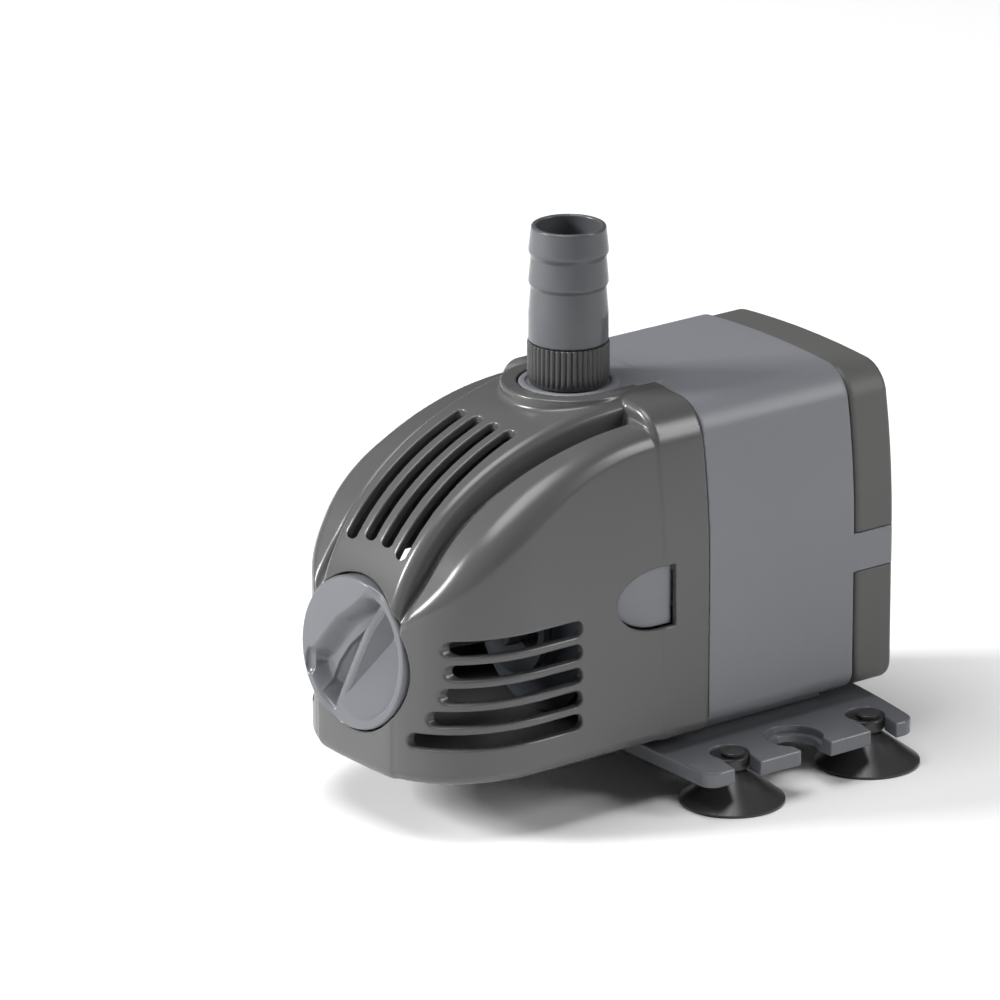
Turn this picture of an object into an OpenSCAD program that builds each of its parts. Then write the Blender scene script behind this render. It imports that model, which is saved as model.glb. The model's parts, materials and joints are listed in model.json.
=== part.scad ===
// Submersible circulation pump with a slotted intake hood, a flow knob,
// a barbed outlet and four suction cups. Front faces -Y, +Z is up, millimetres.
// The origin is on the floor, under the middle of the overall box.

/* [Body] */
// Half the width of the body at its widest
body_half_w = 36.8; // [35:0.1:38]
// Height of the body's underside above the floor
body_z0 = 16.5; // [16:0.1:17.5]
// Height of the body's top at its edges
body_z1 = 106; // [103:0.5:107]
// Wall thickness of the mouldings
wall = 2.4; // [2:0.1:2.8]
// Length of the front housing, front face to its seam
hood_len = 88; // [88:0.5:90]
// Length of the motor housing between its two seams
motor_len = 49; // [47:0.5:51]
// Length of the rear covers
cover_len = 13.5; // [12:0.5:14]
// Gap between two mouldings at a seam
seam_gap = 0.4; // [0.3:0.05:0.6]

/* [Intake] */
// Width of one slot in the raised top band
top_slot_w = 3.4; // [2.6:0.1:3.8]
// Height of one side slot
side_slot_h = 4; // [3:0.1:4.4]
// Distance from one side slot to the next
side_slot_pitch = 6.4; // [6.2:0.1:6.8]
// Diameter of the flow knob
knob_d = 40.8; // [38:0.1:41]

/* [Outlet] */
// Bore of the barbed hose tail
tail_bore = 16.8; // [14:0.2:17]
// Outside diameter over the barbs and the plain part of the tail
tail_d = 21; // [20.6:0.1:21.4]
// Height of the hose tail's top above the floor
tail_top_z = 149.9; // [148:0.1:154]

/* [Base] */
// Thickness of the base plate
plate_t = 4.3; // [3.8:0.1:4.5]
// Diameter of a suction cup's rim
cup_d = 28; // [26:0.5:29]

/* [Hidden] */
$fn = 64;

// Reach of the blocks that only trim a shape
reach = 60;
// Stations along Y
front_y = -77;
seam1_y = front_y + hood_len;
seam2_y = seam1_y + motor_len;
rear_y = seam2_y + cover_len;
outlet_y = -7.5;

// Body section
bottom_r = 5.5;
top_r = 7;
lean = 3.6;
bend_z = 60;
crown = 1.1;
motor_top_drop = 0.5;
cover_top_drop = 1.0;

// Arch of the hood's top, an ellipse seen from the side
arch_y = -1;
arch_z = 50;
arch_len = 76.5;
arch_h = body_z1 + crown - arch_z;
nose_rx = 24;
nose_ry = 32;
nose_bulge = 1.2;
underside_r = 8;
band_half_w = 18;
band_drop = 3.5;
band_end_y = -5;

// Side slots, counted from the top
side_slot_z = 54.4;
side_slot_rows = 5;
side_slot_rear_y = -31;
side_slot_front_x = [27.5, 27.5, 27, 24.5, 20];

// Top slots
top_slot_x = [-10.5, -3.5, 3.5, 10.5];
top_slot_rear_y = -33.5;
top_slot_front_z = [73, 75, 75, 73];

// Flow knob and its stem, on an axis that leans with the front face
knob_pos = [0, -76.6, 47.2];
knob_lean = 4.5;
knob_gap = 0.4;
knob_proud = 2.6;
stem_r = 3;
stem_len = 54;
stem_run = 0.05;
knob_floor = 6.2;
bezel_depth = 8.6;

// Rotor, chamber and stator, on a level axis
rotor_z = 42.7;
shaft_r = 2;
magnet_r = 13;
magnet_y0 = 12.5;
magnet_y1 = 45.4;
well_r = 14.2;
well_wall = 1.4;
well_y1 = 51;
well_end_t = 1.5;
bush_len = 5;
chamber_r = 21.5;
chamber_wall = 2.2;
chamber_y0 = -17;
chamber_y1 = 1.4;
impeller_r = 19;
blade_count = 6;
stub_r = 9.4;
thread_r = 9.3;
thread_run = 0.08;
stub_top_z = 111;
sector_r = 10.4;
sector_hub_r = 4.6;
core_y0 = 18;
core_y1 = 43;
limb_w = 13;
limb_x = 17.5;
coil_t = 4;

// Outlet
collar_r = 10.85;
collar_z0 = 107.3;
collar_z1 = 118.5;
seal_t = 1.4;
spigot_bore_r = 7;
spigot_r = 8.4;
spigot_flange_r = 9.1;
spigot_flange_t = 2.2;
plain_top_z = 126.3;
barb_z = [135.0, 143.3];
barb_neck_r = 9.85;
tongue_half_w = 13.2;
cutout_gap = 0.4;
flange_r = 18;
flange_h = 1.0;

// Latches
window_y = -0.5;
window_len = 19.1;
window_z0 = 48.4;
window_z1 = 65.5;
window_tip_z = 57.5;
latch_groove = 1.2;
latch_t = 2.2;
latch_root = [32.6, 9.6];
latch_root_r = 1.2;

// Rear band and gland
band_z0 = 49.9;
band_z1 = 60.5;
gland_r = 6;
gland_bore_r = 3.4;
gland_end_y = 80.6;

// Base plate and cups
plate_z1 = 13.1;
plate_z0 = plate_z1 - plate_t;
plate_half_w = 56;
plate_front_y = -4;
plate_rear_y = 65.5;
plate_rear_bow = 5.3;
cup_x = 46.65;
cup_y = [11, 57];
cup_apex_z = 11.8;
keyhole_r = 5.2;
keyhole_x = 45.4;
neck_r = 2.2;
keyhole_lean = 12;
notch_y = 31.8;
notch_half_w = 6.2;
notch_x = 46.5;
notch_step = 1.6;
screw_x = 22;
screw_y = [22, 50];
screw_r = 1.8;
boss_r = 5;
boss_h = 5.5;
band_root = 3;

hood_color = [0.35, 0.35, 0.35];
motor_color = [0.50, 0.51, 0.53];
cover_color = [0.38, 0.38, 0.37];
knob_color = [0.58, 0.60, 0.62];
tail_color = [0.42, 0.43, 0.45];
inner_color = [0.45, 0.50, 0.58];
rubber_color = [0.12, 0.12, 0.12];

// ---- outlines ---------------------------------------------------------------

// Points of a circular or elliptical arc
function arc(cx, cy, rx, ry, a0, a1, steps) =
    [for (i = [0:steps]) let (a = a0 + (a1 - a0) * i / steps) [cx + rx * cos(a), cy + ry * sin(a)]];

function mirrored(points) =
    [for (i = [len(points) - 1:-1:0]) [-points[i][0], points[i][1]]];

// Right half of the body section: rounded foot, side that leans in above bend_z, rounded shoulder
function half_section(inset, top_z) =
    let (hw = body_half_w - inset, z0 = body_z0 + inset, z1 = top_z - inset,
        rb = bottom_r - inset, rt = top_r - inset, side_top = z1 - rt)
    concat(
        arc(hw - rb, z0 + rb, rb, rb, -90, 0, 5),
        [for (i = [0:6]) let (t = i / 6) [hw - lean * t * t, bend_z + (side_top - bend_z) * t]],
        arc(hw - lean - rt, side_top, rt, rt, 15, 90, 5),
        [for (i = [1:3]) let (t = 1 - i / 4) [(hw - lean - rt) * t, z1 + crown * (1 - t * t)]]);

function section(inset, top_z) =
    concat(half_section(inset, top_z), mirrored(half_section(inset, top_z)));

// A block with the body's section between two stations
module body_block(y0, y1, inset, top_z) {
    translate([0, y1, 0]) rotate([90, 0, 0]) linear_extrude(y1 - y0)
        polygon(section(inset, top_z));
}

// Plan of the hood: a gently bowed front between two elliptical corners
module hood_plan(inset) {
    hw = body_half_w - inset;
    corner_x = body_half_w - nose_rx;
    right = concat(
        [[0, front_y + inset - nose_bulge]],
        arc(corner_x, front_y + nose_ry, nose_rx - inset, nose_ry - inset, -82, 0, 14),
        [[hw, seam1_y + 1]]);
    polygon(concat(right, mirrored(right)));
}

// Side view of the hood: arched top, upright front, rounded lower edge
module hood_profile(inset, drop) {
    a = arch_len - inset;
    h = arch_h - inset - drop;
    z0 = body_z0 + inset;
    y0 = arch_y - a - nose_bulge;
    polygon(concat(
        [[seam1_y + 1, z0], [seam1_y + 1, arch_z + h]],
        [for (i = [0:26]) let (t = 90 + 90 * i / 26)
            [arch_y + (a + nose_bulge) * cos(t), arch_z + h * sin(t)]],
        arc(y0 + underside_r, z0 + underside_r, underside_r, underside_r, 180, 270, 6)));
}

module along_x(half_w) {
    translate([-half_w, 0, 0]) rotate([90, 0, 90]) linear_extrude(2 * half_w) children();
}

// Solid form of the hood, inset from the outside by a wall
module hood_form(inset) {
    intersection() {
        body_block(front_y - 5, seam1_y - seam_gap + (inset > 0 ? 5 : 0), inset, body_z1);
        translate([0, 0, body_z0]) linear_extrude(body_z1) hood_plan(inset);
        union() {
            along_x(band_half_w - inset) hood_profile(inset, 0);
            along_x(body_half_w) hood_profile(inset, band_drop);
            translate([-body_half_w, band_end_y + inset, body_z0])
                cube([2 * body_half_w, seam1_y - band_end_y + 6, body_z1]);
        }
    }
}

// ---- hood and its openings ------------------------------------------------------

module side_slot(z, front_x, side) {
    slot_r = side_slot_h / 2;
    translate([side > 0 ? front_x : -front_x - body_half_w, front_y - 3, z - slot_r])
        cube([body_half_w, side_slot_rear_y - slot_r - front_y + 3, side_slot_h]);
    translate([side > 0 ? body_half_w - 8 : -body_half_w - 8, side_slot_rear_y - slot_r, z])
        rotate([0, 90, 0]) cylinder(r = slot_r, h = 16);
}

module side_slots(side) {
    // The cavity's own outline keeps each slot from reaching past the wall
    difference() {
        for (i = [0:side_slot_rows - 1])
            side_slot(side_slot_z - i * side_slot_pitch, side_slot_front_x[i], side);
        translate([0, 0, body_z0]) linear_extrude(body_z1) hood_plan(3 * wall);
    }
}

module top_slots() {
    for (i = [0:len(top_slot_x) - 1]) {
        front_a = asin((top_slot_front_z[i] - arch_z) / arch_h);
        rear_a = acos((top_slot_rear_y - arch_y) / -arch_len);
        wedge = concat(
            [for (k = [0:12]) let (a = front_a + (rear_a - front_a) * k / 12)
                [arch_y - (arch_len + 4) * cos(a), arch_z + (arch_h + 4) * sin(a)]],
            [for (k = [12:-1:0]) let (a = front_a + (rear_a - front_a) * k / 12)
                [arch_y - (arch_len - 7) * cos(a), arch_z + (arch_h - 7) * sin(a)]]);
        translate([top_slot_x[i] - top_slot_w / 2, 0, 0]) rotate([90, 0, 90])
            linear_extrude(top_slot_w) polygon(wedge);
    }
}

function window_outline(grow) =
    concat(
        [[window_y + grow, window_z0 - grow]],
        [[window_y + grow, window_z1 + grow]],
        [for (i = [0:8]) let (t = i / 8)
            [window_y - 5 - (window_len - 5 + grow) * sin(90 * t),
                window_tip_z + (window_z1 - window_tip_z + grow) * cos(90 * t)]],
        [for (i = [1:8]) let (t = i / 8)
            [window_y - 5 - (window_len - 5 + grow) * cos(90 * t),
                window_tip_z + (window_z0 - window_tip_z - grow) * sin(90 * t)]]);

module latch_windows() {
    for (side = [-1, 1]) {
        translate([side > 0 ? body_half_w - 8 : -body_half_w - 8, 0, 0]) rotate([90, 0, 90])
            linear_extrude(16) polygon(window_outline(0));
        // lead-in groove inside the wall, from the window to the open end
        translate([side > 0 ? body_half_w - wall - 1 : -body_half_w + wall - latch_groove,
                window_y - window_len - 1, window_z0 - 1])
            cube([latch_groove + 1, 40, window_z1 - window_z0 + 2]);
    }
}

module knob_axis() {
    translate(knob_pos) rotate([90 - knob_lean, 0, 0]) children();
}

module front_housing() {
    color(hood_color)
    difference() {
        union() {
            difference() {
                hood_form(0);
                hood_form(wall);
            }
            // raised ring round the outlet
            translate([0, outlet_y, body_z1 - 2.6]) cylinder(r = flange_r, h = 2.6 + crown + flange_h);
            // round pocket behind the knob
            intersection() {
                hood_form(0);
                knob_axis() translate([0, 0, -bezel_depth]) cylinder(r = knob_d / 2 + 2.2, h = 20);
            }
            // guide tube for the stem
            knob_axis() translate([0, 0, -bezel_depth - 9]) cylinder(r = stem_r + 2.4, h = 10);
        }
        // knob pocket and the stem's running bore
        knob_axis() translate([0, 0, -knob_floor]) cylinder(r = knob_d / 2 + knob_gap, h = 30);
        knob_axis() translate([0, 0, -40]) cylinder(r = stem_r + stem_run, h = 60);
        // U-shaped cut-out round the outlet, open towards the seam
        translate([0, outlet_y, body_z1 - 12]) cylinder(r = tongue_half_w + cutout_gap, h = 30);
        translate([-tongue_half_w - cutout_gap, outlet_y, body_z1 - 12])
            cube([2 * (tongue_half_w + cutout_gap), 60, 30]);
        // the ring stops at the seam
        translate([-reach, seam1_y - seam_gap, body_z0]) cube([2 * reach, reach, body_z1]);
        top_slots();
        side_slots(1);
        side_slots(-1);
        latch_windows();
    }
}

// ---- flow knob --------------------------------------------------------------------

module regulator_knob() {
    r = knob_d / 2;
    edge_r = 2;
    scoop_r = 9;
    scoop_rise = 6.2;
    grip_turn = -24;
    grip_shift = 1.5;
    scoop_shift = 9.3;
    color(knob_color)
    knob_axis() difference() {
        translate([0, 0, -knob_floor + 0.4]) rotate_extrude()
            polygon(concat([[0, 0], [r, 0]],
                arc(r - edge_r, knob_floor + knob_proud - 0.4 - edge_r, edge_r, edge_r, 0, 90, 5),
                [[0, knob_floor + knob_proud + 0.2]]));
        // scoops on either side of the grip rib
        rotate([0, 0, grip_turn]) for (side = [-1, 1])
            translate([grip_shift + side * scoop_shift, -1, knob_proud + scoop_rise]) rotate([90, 0, 0])
                cylinder(r = scoop_r, h = 1.5 * r, center = true);
        // blind socket for the stem
        translate([0, 0, -knob_floor]) cylinder(r = stem_r, h = 3.4);
    }
}

module regulator_stem() {
    color(inner_color)
    knob_axis() difference() {
        translate([0, 0, -stem_len]) cylinder(r = stem_r, h = stem_len - knob_floor + 3.4);
        translate([0, 0, -bezel_depth - 10.6]) difference() {
            cylinder(r = stem_r + 1, h = 1);
            translate([0, 0, -1]) cylinder(r = stem_r - 0.8, h = 3);
        }
    }
}

module stem_clip() {
    color([0.75, 0.76, 0.78])
    knob_axis() translate([0, 0, -bezel_depth - 10.6]) difference() {
        cylinder(r = stem_r + 2, h = 1);
        translate([0, 0, -1]) cylinder(r = stem_r - 0.8, h = 3);
        translate([-1.4, 0, -1]) cube([2.8, 10, 3]);
    }
}

// Two open sectors in a round plate, each a quarter turn
module sectors(r, h) {
    for (turn = [0, 180]) rotate([0, 0, turn]) intersection() {
        difference() {
            cylinder(r = r, h = h);
            translate([0, 0, -1]) cylinder(r = sector_hub_r, h = h + 2);
        }
        rotate([0, 0, -40]) cube([r, r, h]);
        rotate([0, 0, -50]) cube([r, r, h]);
    }
}

module regulator_disc() {
    disc_t = 2;
    color(inner_color)
    knob_axis() translate([0, 0, -stem_len + 0.6]) difference() {
        union() {
            cylinder(r = sector_r + 2.4, h = disc_t);
            cylinder(r = stem_r + 2, h = 7);
        }
        translate([0, 0, -1]) sectors(sector_r, disc_t + 2);
        translate([0, 0, -1]) cylinder(r = stem_r, h = 10);
    }
}

// ---- chamber and rotor ---------------------------------------------------------------

// Y axis of the rotor, with z measured towards the rear
module rotor_axis() {
    translate([0, 0, rotor_z]) rotate([-90, 0, 0]) children();
}

module pump_chamber() {
    outer_r = chamber_r + chamber_wall;
    color(inner_color)
    difference() {
        union() {
            rotor_axis() translate([0, 0, chamber_y0]) cylinder(r = outer_r, h = chamber_y1 - chamber_y0 + 2);
            rotor_axis() translate([0, 0, chamber_y1]) cylinder(r = well_r + 3.6, h = seam1_y - chamber_y1);
            translate([0, outlet_y, rotor_z]) cylinder(r = stub_r, h = body_z1 - rotor_z - 3.4);
            translate([0, outlet_y, rotor_z]) cylinder(r = thread_r, h = stub_top_z - rotor_z);
        }
        rotor_axis() translate([0, 0, chamber_y0 - 1]) cylinder(r = chamber_r, h = chamber_y1 - chamber_y0 + 1);
        rotor_axis() translate([0, 0, chamber_y0]) cylinder(r = well_r, h = 60);
        translate([0, outlet_y, rotor_z]) cylinder(r = spigot_bore_r, h = 80);
    }
}

module chamber_cover() {
    rim_t = 2.4;
    snout_r = sector_r + 2.4;
    back_y = chamber_y0 - rim_t;
    color(inner_color)
    difference() {
        union() {
            rotor_axis() translate([0, 0, back_y]) cylinder(r = chamber_r + chamber_wall, h = rim_t);
            rotor_axis() translate([0, 0, chamber_y0]) difference() {
                cylinder(r = chamber_r - 0.1, h = 2);
                translate([0, 0, -1]) cylinder(r = chamber_r - 2, h = 4);
            }
            intersection() {
                knob_axis() translate([0, 0, -stem_len - 20]) cylinder(r = snout_r, h = 20);
                translate([-reach, -reach, 0]) cube([2 * reach, reach + chamber_y0, 2 * reach]);
            }
            rotor_axis() translate([0, 0, back_y]) cylinder(r = 4.6, h = 6.5);
        }
        intersection() {
            knob_axis() translate([0, 0, -stem_len - 30]) sectors(sector_r, 40);
            translate([-reach, -reach, 0]) cube([2 * reach, reach + chamber_y0 + 8, 2 * reach]);
        }
        // seat of the front bush
        rotor_axis() translate([0, 0, back_y + 1.5]) cylinder(r = 3.4, h = 20);
    }
}

module ring(y0, t, r_out, r_in) {
    rotor_axis() translate([0, 0, y0]) difference() {
        cylinder(r = r_out, h = t);
        translate([0, 0, -1]) cylinder(r = r_in, h = t + 2);
    }
}

module chamber_seal() {
    color(rubber_color) ring(seam1_y - 3.4, 3.2, well_r + 5.8, well_r + 3.6);
}

module front_bush() {
    color(rubber_color) ring(chamber_y0 - 0.9, bush_len, 3.4, shaft_r);
}

module rear_bush() {
    color(rubber_color) ring(well_y1 - bush_len, bush_len, bush_len, shaft_r);
}

module rotor_shaft() {
    color([0.93, 0.93, 0.90])
    rotor_axis() translate([0, 0, chamber_y0 - 0.9]) cylinder(r = shaft_r, h = well_y1 - chamber_y0 + 0.9);
}

module impeller() {
    hub_r = 6.5;
    blade_t = 1.6;
    blade_y0 = chamber_y0 + 5.5;
    back_y = chamber_y1 - 2.6;
    color([0.85, 0.86, 0.86])
    difference() {
        union() {
            rotor_axis() translate([0, 0, blade_y0]) cylinder(r = hub_r, h = magnet_y0 - blade_y0);
            rotor_axis() translate([0, 0, back_y]) cylinder(r = impeller_r - 4, h = 1.4);
            for (i = [0:blade_count - 1]) rotor_axis() rotate([0, 0, i * 360 / blade_count])
                translate([0, -blade_t / 2, blade_y0]) cube([impeller_r, blade_t, back_y + 1.4 - blade_y0]);
        }
        rotor_axis() translate([0, 0, -40]) cylinder(r = shaft_r + 0.05, h = 80);
    }
}

module rotor_magnet() {
    color([0.24, 0.24, 0.26]) ring(magnet_y0, magnet_y1 - magnet_y0, magnet_r, shaft_r + 0.05);
}

module rotor_well() {
    color([0.70, 0.72, 0.74])
    difference() {
        union() {
            rotor_axis() translate([0, 0, seam1_y + 0.5]) cylinder(r = well_r + well_wall, h = well_y1 + well_end_t - seam1_y - 0.5);
            rotor_axis() translate([0, 0, seam1_y]) cylinder(r = well_r + 5.8, h = 1.6);
        }
        rotor_axis() translate([0, 0, seam1_y - 1]) cylinder(r = well_r, h = well_y1 - bush_len - seam1_y + 1);
        rotor_axis() translate([0, 0, seam1_y]) cylinder(r = bush_len, h = well_y1 - seam1_y);
    }
}

// ---- stator and potting -----------------------------------------------------------------

// Laminated core: pole ring round the well, two limbs and a yoke above
module stator_form() {
    pole_half_w = limb_x + limb_w / 2;
    pole_z0 = rotor_z - 20;
    yoke_z0 = 86;
    yoke_h = 13;
    rotate([90, 0, 0]) translate([0, 0, -core_y1]) linear_extrude(core_y1 - core_y0) {
        translate([-pole_half_w, pole_z0]) square([2 * pole_half_w, 42]);
        for (side = [-1, 1])
            translate([side * limb_x - limb_w / 2, rotor_z]) square([limb_w, yoke_z0 + yoke_h - rotor_z]);
        translate([-pole_half_w, yoke_z0]) square([2 * pole_half_w, yoke_h]);
    }
}

module stator_core() {
    color([0.55, 0.56, 0.58])
    difference() {
        stator_form();
        rotor_axis() cylinder(r = well_r + well_wall, h = 80);
        // air gap between the two poles
        translate([-2, core_y0 - 1, 0]) cube([4, core_y1 - core_y0 + 2, rotor_z + 24]);
    }
}

module coil_block(side) {
    coil_z0 = 66;
    coil_h = 18;
    translate([side * limb_x - limb_w / 2 - coil_t, core_y0 - coil_t, coil_z0])
        cube([limb_w + 2 * coil_t, core_y1 - core_y0 + 2 * coil_t, coil_h]);
}

module coil(side) {
    color([0.72, 0.42, 0.22])
    difference() {
        coil_block(side);
        stator_form();
    }
}

module coil_left() {
    coil(-1);
}

module coil_right() {
    coil(1);
}

module resin_fill() {
    resin_y0 = seam1_y + wall;
    color([0.16, 0.16, 0.18])
    difference() {
        body_block(resin_y0, seam2_y - band_root, wall, body_z1 - motor_top_drop);
        stator_core();
        coil_block(-1);
        coil_block(1);
        rotor_axis() cylinder(r = well_r + well_wall, h = well_y1 + well_end_t);
        for (x = [-screw_x, screw_x], y = screw_y)
            translate([x, y, body_z0]) cylinder(r = boss_r, h = boss_h);
    }
}

// ---- motor housing and rear covers --------------------------------------------------------

module motor_housing() {
    top_z = body_z1 - motor_top_drop;
    tongue_t = 3.2;
    tongue_z = top_z + crown - tongue_t;
    color(motor_color)
    difference() {
        union() {
            difference() {
                body_block(seam1_y, seam2_y - seam_gap / 2, 0, top_z);
                body_block(seam1_y + wall, seam2_y + 1, wall, top_z);
                rotor_axis() cylinder(r = well_r + well_wall, h = 80);
                // seat of the rotor well's flange
                rotor_axis() cylinder(r = well_r + 5.8, h = seam1_y + 1.6);
            }
            // tongue that carries the outlet
            translate([0, outlet_y, tongue_z]) cylinder(r = tongue_half_w, h = tongue_t + flange_h);
            translate([-tongue_half_w, outlet_y, tongue_z])
                cube([2 * tongue_half_w, seam1_y + 2 - outlet_y, tongue_t + flange_h - 1.6]);
            // light band between the rear covers
            intersection() {
                body_block(seam2_y - band_root, rear_y, 0, top_z - cover_top_drop);
                translate([-reach, seam2_y - band_root, band_z0]) cube([2 * reach, reach, band_z1 - band_z0]);
            }
            // rail under the body that sits on the base plate
            for (x = [-screw_x, screw_x], y = screw_y)
                translate([x, y, plate_z1]) cylinder(r = boss_r, h = body_z0 - plate_z1 + boss_h);
            translate([-28, 15, plate_z1]) cube([56, 41, body_z0 - plate_z1 + 0.4]);
        }
        // hole for the chamber's outlet stub, and a recess for the collar's foot
        translate([0, outlet_y, tongue_z - 1]) cylinder(r = thread_r, h = 20);
        translate([0, outlet_y, collar_z0 - 0.3]) cylinder(r = collar_r + 0.4, h = 20);
        for (x = [-screw_x, screw_x], y = screw_y)
            translate([x, y, plate_z1 - 1]) cylinder(r = screw_r, h = 9);
        // hole for the mains lead
        translate([0, seam2_y - 5, (band_z0 + band_z1) / 2]) rotate([-90, 0, 0])
            cylinder(r = gland_r - 1.6, h = 40);
    }
}

module rear_cover(z0, z1) {
    top_z = body_z1 - motor_top_drop - cover_top_drop;
    color(cover_color)
    intersection() {
        difference() {
            body_block(seam2_y + seam_gap / 2, rear_y, 0, top_z);
            body_block(seam2_y - 1, rear_y - wall, wall, top_z);
        }
        translate([-reach, seam2_y - 2, z0]) cube([2 * reach, reach, z1 - z0]);
    }
}

module rear_cover_upper() {
    rear_cover(band_z1 + seam_gap / 2, body_z1 + 10);
}

module rear_cover_lower() {
    rear_cover(body_z0 - 10, band_z0 - seam_gap / 2);
}

module cable_gland() {
    neck = gland_r - 1.6;
    color(rubber_color)
    translate([0, seam2_y + 2, (band_z0 + band_z1) / 2]) rotate([-90, 0, 0]) difference() {
        union() {
            cylinder(r = neck, h = rear_y - seam2_y - 2);
            translate([0, 0, rear_y - seam2_y - 2]) cylinder(r = neck + 0.6, h = gland_end_y - rear_y);
        }
        translate([0, 0, 4]) cylinder(r = gland_bore_r, h = 30);
    }
}

// ---- latches ---------------------------------------------------------------------------------

module latch(side) {
    outer_x = body_half_w - wall + latch_groove - 0.3;
    root_y = seam1_y - 0.1;
    color(motor_color)
    mirror([side < 0 ? 1 : 0, 0, 0]) {
        intersection() {
            translate([outer_x - latch_t, 0, 0]) rotate([90, 0, 90]) linear_extrude(latch_t)
                polygon(window_outline(-0.9));
            translate([0, -reach, 0]) cube([outer_x, 2 * reach, 2 * reach]);
        }
        translate([outer_x - latch_t - 1.4, window_y - 8, window_tip_z - 5])
            cube([1.8, root_y - window_y + 8, 10]);
        // thickened root that the arm bends about
        translate([latch_root[0], latch_root[1], window_tip_z - 5]) cylinder(r = latch_root_r, h = 10);
    }
}

module latch_left() {
    latch(-1);
}

module latch_right() {
    latch(1);
}

// ---- outlet ------------------------------------------------------------------------------------

module hose_tail() {
    r = tail_d / 2;
    bore_r = tail_bore / 2;
    foot_z = stub_top_z + seal_t;
    shoulder_z = collar_z1 + 0.2;
    barb_undercut = 1.5;
    outline = concat(
        [[spigot_bore_r, foot_z], [spigot_flange_r, foot_z], [spigot_flange_r, foot_z + spigot_flange_t],
            [spigot_r, foot_z + spigot_flange_t], [spigot_r, shoulder_z], [r, shoulder_z]],
        [[r, plain_top_z]],
        [for (z = barb_z) each [[barb_neck_r, z - barb_undercut], [r, z]]],
        [[r - 0.9, tail_top_z], [bore_r, tail_top_z], [bore_r, shoulder_z + 3.4], [spigot_bore_r, shoulder_z + 2]]);
    color(tail_color) translate([0, outlet_y, 0]) rotate_extrude() polygon(outline);
}

module knurled_collar() {
    rib_count = 44;
    rib_depth = 0.6;
    rib_r = 0.42;
    color(tail_color * 0.7)
    translate([0, outlet_y, collar_z0]) difference() {
        union() {
            cylinder(r = collar_r - rib_depth, h = collar_z1 - collar_z0);
            for (i = [0:rib_count - 1]) rotate([0, 0, i * 360 / rib_count])
                translate([collar_r - rib_r, 0, 0.6]) cylinder(r = rib_r, h = collar_z1 - collar_z0 - 0.6, $fn = 8);
        }
        // threaded part round the stub, then a lip that holds the tail's flange
        translate([0, 0, -1]) cylinder(r = thread_r + thread_run, h = 1 + stub_top_z + seal_t
            + spigot_flange_t + 0.2 - collar_z0);
        translate([0, 0, -1]) cylinder(r = spigot_r + thread_run, h = reach);
    }
}

module outlet_seal() {
    color(rubber_color)
    translate([0, outlet_y, stub_top_z]) difference() {
        cylinder(r = thread_r - 0.3, h = seal_t);
        translate([0, 0, -1]) cylinder(r = spigot_bore_r, h = 4);
    }
}

// ---- base ------------------------------------------------------------------------------------------

function plate_outline() =
    let (hw = plate_half_w)
    concat(
        [[hw - 6, plate_front_y], [hw - 1.5, plate_front_y + 3], [hw, plate_front_y + 7]],
        [[hw, plate_rear_y - 3], [hw - 3, plate_rear_y]],
        [for (i = [1:6]) let (t = 1 - i / 6) [(hw - 6) * t, plate_rear_y + plate_rear_bow * (1 - t * t)]]);

module base_plate() {
    outline = plate_outline();
    color(knob_color)
    difference() {
        translate([0, 0, plate_z0]) linear_extrude(plate_t) polygon(concat(outline, mirrored(outline)));
        for (side = [-1, 1]) {
            for (y = cup_y) translate([side * keyhole_x, y, plate_z0 - 1]) {
                cylinder(r = keyhole_r, h = plate_t + 2);
                mirror([side < 0 ? 1 : 0, 0, 0]) rotate([0, 0, -keyhole_lean])
                    translate([0, -4.2, 0]) cube([20, 8.4, plate_t + 2]);
            }
            // stepped notch, wider in its upper half
            translate([side * notch_x, notch_y, plate_z0 - 1]) {
                cylinder(r = notch_half_w, h = plate_t + 2);
                translate([0, 0, 1 + plate_t / 2]) cylinder(r = notch_half_w + notch_step, h = plate_t);
                translate([side > 0 ? 0 : -20, -notch_half_w + 1.2, 0])
                    cube([20, 2 * notch_half_w - 2.4, plate_t + 2]);
            }
        }
        // screw holes with counterbores underneath
        for (x = [-screw_x, screw_x], y = screw_y) translate([x, y, plate_z0 - 1]) {
            cylinder(r = screw_r + 0.2, h = plate_t + 2);
            cylinder(r = 3.6, h = 3);
        }
    }
}

module base_screws() {
    head_r = 3.3;
    color([0.78, 0.79, 0.80])
    for (x = [-screw_x, screw_x], y = screw_y) translate([x, y, plate_z0 + 0.2]) {
        translate([0, 0, 1]) cylinder(r = screw_r, h = 10);
        difference() {
            cylinder(r = head_r, h = 1.8);
            for (turn = [0, 90]) rotate([0, 0, turn])
                translate([-2.2, -0.4, -1]) cube([4.4, 0.8, 2]);
        }
    }
}

module suction_cup(side, y) {
    r = cup_d / 2;
    lip = 1.1;
    skin = 1.6;
    waist_z = cup_apex_z - 1.6;
    head_z = plate_z1 + 0.5;
    color(rubber_color) {
        translate([side * cup_x, y, 0]) rotate_extrude()
            polygon([[r - lip, 0], [r, 0], [r, 0.8], [neck_r + 0.4, waist_z - 0.6], [neck_r, waist_z],
                [neck_r, waist_z + 0.8], [neck_r + 1, head_z], [neck_r, head_z + 0.4], [0, head_z + 0.4],
                [0, waist_z - 3 * skin], [neck_r + 0.8, waist_z - 3 * skin]]);
        // collar that fills the keyhole
        translate([side * keyhole_x, y, plate_z0 + 0.4]) cylinder(r = keyhole_r, h = plate_t - 1.6);
    }
}

module suction_cup_front_left() {
    suction_cup(-1, cup_y[0]);
}

module suction_cup_front_right() {
    suction_cup(1, cup_y[0]);
}

module suction_cup_rear_left() {
    suction_cup(-1, cup_y[1]);
}

module suction_cup_rear_right() {
    suction_cup(1, cup_y[1]);
}

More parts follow.
